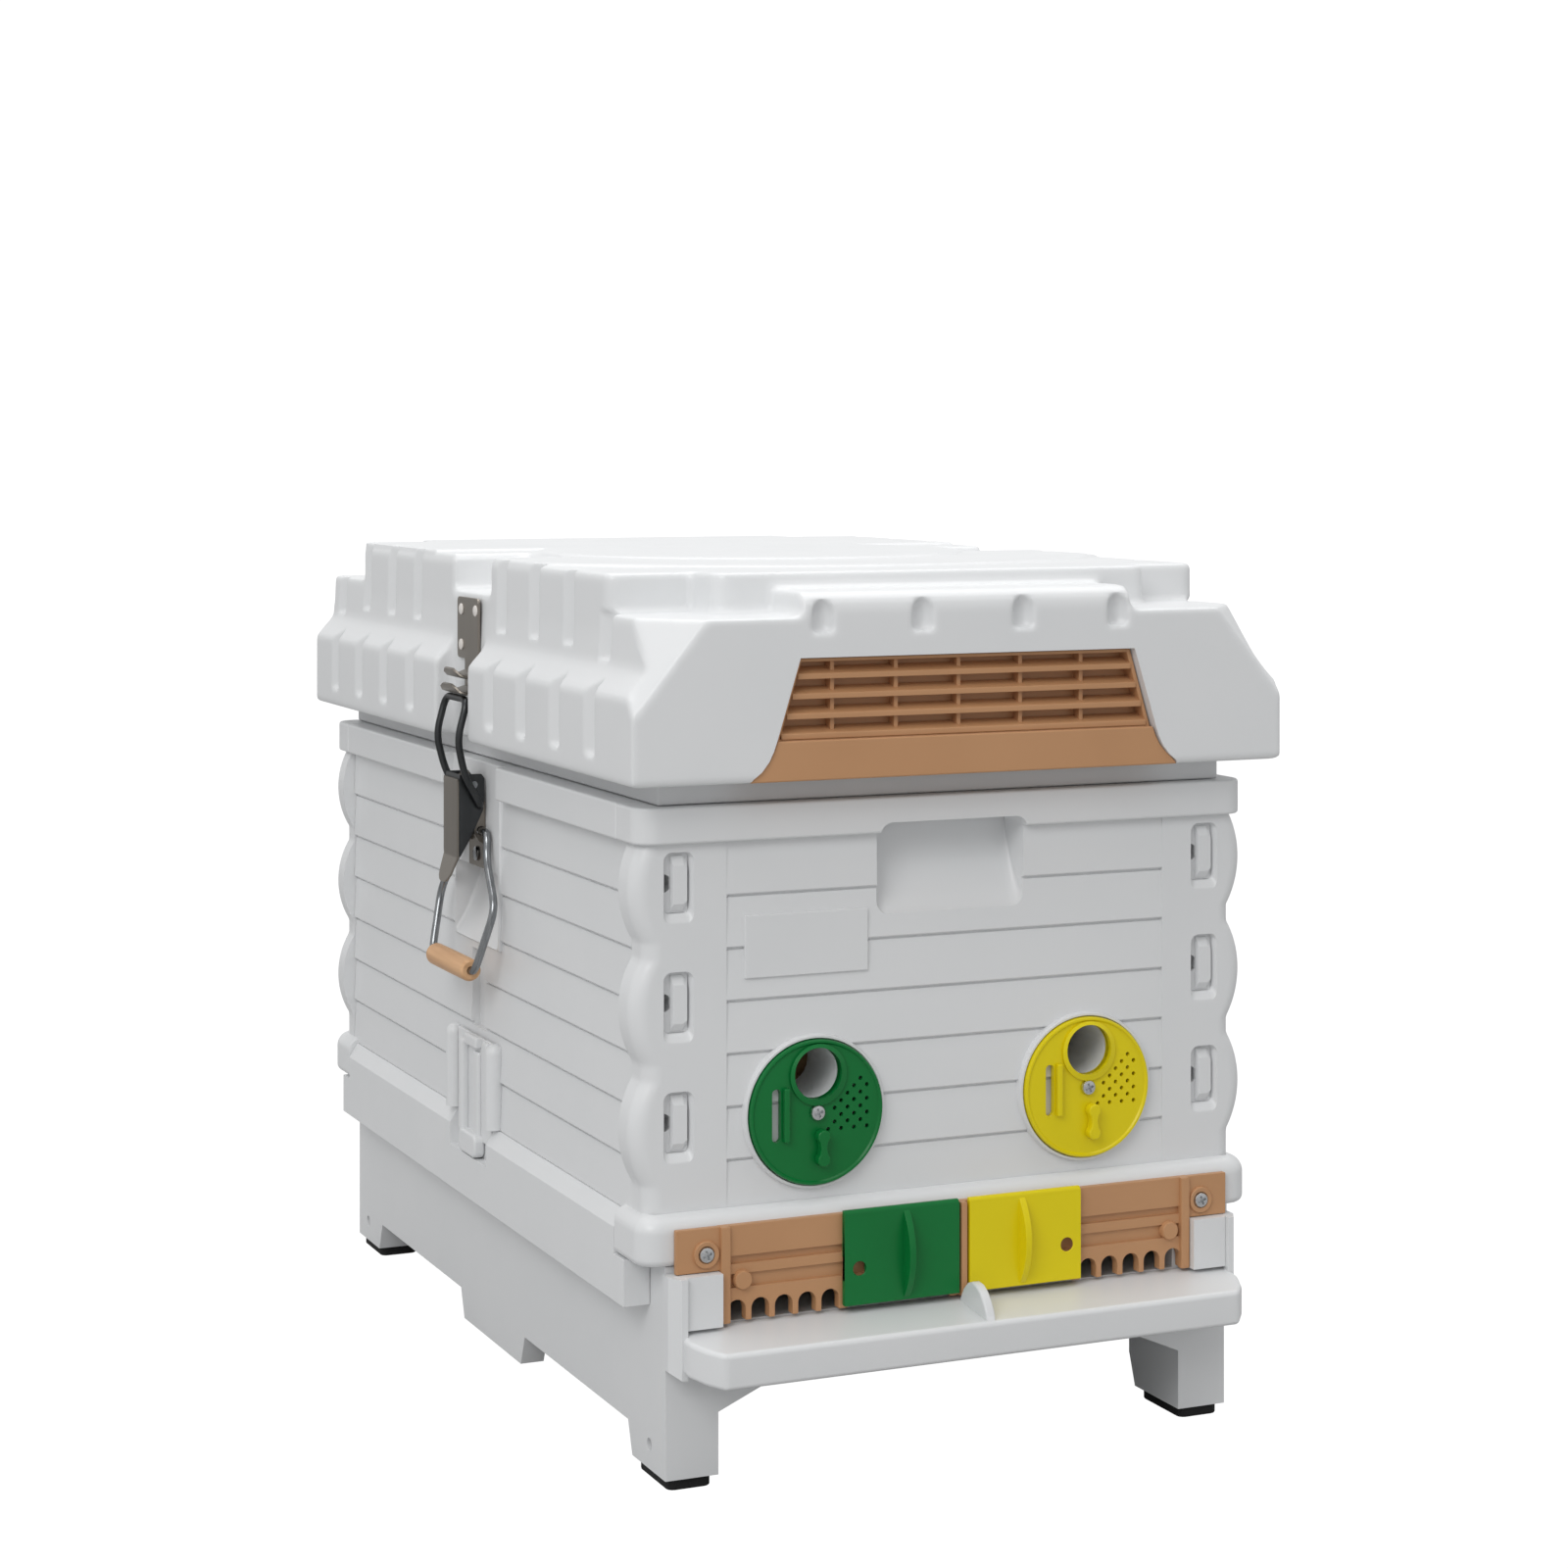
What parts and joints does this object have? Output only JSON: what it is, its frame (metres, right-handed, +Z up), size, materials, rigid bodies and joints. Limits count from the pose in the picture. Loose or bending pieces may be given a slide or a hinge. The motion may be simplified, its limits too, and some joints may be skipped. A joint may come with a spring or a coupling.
{
  "type": "beehive",
  "caption": "Insulated plastic beehive on a legged base: planked brood box, stepped vented roof, toggle latches with carrying handles, rotating entrance discs and sliding entrance shutters.",
  "frame": {"origin": "middle of the footprint box, on the floor", "axes": "+Z up; +Y towards the rear, so the entrances face -Y; +X to the viewer's right when facing the entrances"},
  "size_m": [0.3942, 0.614, 0.467],
  "materials": {
    "white_plastic": "satin moulded",
    "tan_plastic": "fine moulded",
    "green_plastic": "satin moulded",
    "yellow_plastic": "satin moulded",
    "stainless_steel": "brushed",
    "dark_steel": "drawn wire",
    "pine": "planed",
    "beech": "turned, bare",
    "black_rubber": "matt",
    "zinc_screw": "zinc plated"
  },
  "bodies": {
    "base": {"base_stand": "white_plastic", "entrance_post_left": "white_plastic", "entrance_post_right": "white_plastic", "landing_board": "white_plastic", "front_rail": "white_plastic", "rear_rail": "white_plastic", "side_rail_left": "white_plastic", "side_rail_right": "white_plastic", "foot_front_left": "black_rubber", "foot_front_right": "black_rubber", "foot_rear_left": "black_rubber", "foot_rear_right": "black_rubber", "entrance_plate": "tan_plastic", "entrance_comb_left": "tan_plastic", "entrance_comb_right": "tan_plastic", "entrance_screw_left": "zinc_screw", "entrance_screw_right": "zinc_screw", "floor_screen": "stainless_steel"},
    "brood_box": {"front_wall": "white_plastic", "rear_wall": "white_plastic", "side_wall_left": "white_plastic", "side_wall_right": "white_plastic", "corner_key_front_left": "white_plastic", "corner_key_front_right": "white_plastic", "corner_key_rear_left": "white_plastic", "corner_key_rear_right": "white_plastic", "latch_bracket_left": "stainless_steel", "latch_bracket_right": "stainless_steel", "inner_cover": "white_plastic", "disc_screw_left": "zinc_screw", "disc_screw_right": "zinc_screw", "frame_1": "pine", "frame_2": "pine", "frame_3": "pine", "frame_4": "pine", "frame_5": "pine", "frame_6": "pine", "frame_7": "pine"},
    "roof": {"roof_shell": "white_plastic", "roof_vent": "tan_plastic", "hook_plate_left": "stainless_steel", "hook_plate_right": "stainless_steel"},
    "tray": {"pull_out_tray": "white_plastic"},
    "lever_left": {"latch_lever_left": "dark_steel"},
    "loop_left": {"latch_loop_left": "dark_steel"},
    "handle_left": {"handle_wire_left": "dark_steel", "handle_grip_left": "beech"},
    "disc_left": {"disc_left": "green_plastic"},
    "slider_left": {"slider_left": "green_plastic"},
    "slide_lock_left": {"slide_lock_left": "white_plastic"},
    "lever_right": {"latch_lever_right": "dark_steel"},
    "loop_right": {"latch_loop_right": "dark_steel"},
    "handle_right": {"handle_wire_right": "dark_steel", "handle_grip_right": "beech"},
    "disc_right": {"disc_right": "yellow_plastic"},
    "slider_right": {"slider_right": "yellow_plastic"},
    "slide_lock_right": {"slide_lock_right": "white_plastic"}
  },
  "joints": [
    {"name": "box_lift", "type": "slide", "parent": "base", "child": "brood_box", "axis": [0, 0, 1], "range_m": [0, 0.12]},
    {"name": "roof_lift", "type": "slide", "parent": "brood_box", "child": "roof", "axis": [0, 0, 1], "range_m": [0, 0.15]},
    {"name": "tray_slide", "type": "slide", "parent": "base", "child": "tray", "axis": [0, 1, 0], "range_m": [0, 0.3]},
    {"name": "lever_left", "type": "hinge", "parent": "brood_box", "child": "lever_left", "pos_m": [-0.182, 0.006, 0.335], "axis": [0, 1, 0], "range_deg": [0, 100]},
    {"name": "loop_left", "type": "hinge", "parent": "lever_left", "child": "loop_left", "pos_m": [-0.179, 0.006, 0.323], "axis": [0, 1, 0], "range_deg": [-120, 0]},
    {"name": "handle_left", "type": "hinge", "parent": "brood_box", "child": "handle_left", "pos_m": [-0.177, 0.006, 0.308], "axis": [0, 1, 0], "range_deg": [0, 100]},
    {"name": "disc_left", "type": "hinge", "parent": "brood_box", "child": "disc_left", "pos_m": [-0.08, -0.2642, 0.1862], "axis": [0, -1, 0], "continuous": true},
    {"name": "slider_left", "type": "slide", "parent": "base", "child": "slider_left", "axis": [-1, 0, 0], "range_m": [0, 0.0625]},
    {"name": "slide_lock_left", "type": "slide", "parent": "brood_box", "child": "slide_lock_left", "axis": [0, 0, 1], "range_m": [0, 0.025]},
    {"name": "lever_right", "type": "hinge", "parent": "brood_box", "child": "lever_right", "pos_m": [0.182, 0.006, 0.335], "axis": [0, -1, 0], "range_deg": [0, 100]},
    {"name": "loop_right", "type": "hinge", "parent": "lever_right", "child": "loop_right", "pos_m": [0.179, 0.006, 0.323], "axis": [0, -1, 0], "range_deg": [-120, 0]},
    {"name": "handle_right", "type": "hinge", "parent": "brood_box", "child": "handle_right", "pos_m": [0.177, 0.006, 0.308], "axis": [0, -1, 0], "range_deg": [0, 100]},
    {"name": "disc_right", "type": "hinge", "parent": "brood_box", "child": "disc_right", "pos_m": [0.08, -0.2642, 0.1862], "axis": [0, -1, 0], "continuous": true},
    {"name": "slider_right", "type": "slide", "parent": "base", "child": "slider_right", "axis": [1, 0, 0], "range_m": [0, 0.0625]},
    {"name": "slide_lock_right", "type": "slide", "parent": "brood_box", "child": "slide_lock_right", "axis": [0, 0, 1], "range_m": [0, 0.025]}
  ],
  "couplings": [
    {"joint": "loop_left", "follows": "lever_left", "ratio": -1.2},
    {"joint": "loop_right", "follows": "lever_right", "ratio": -1.2}
  ]
}
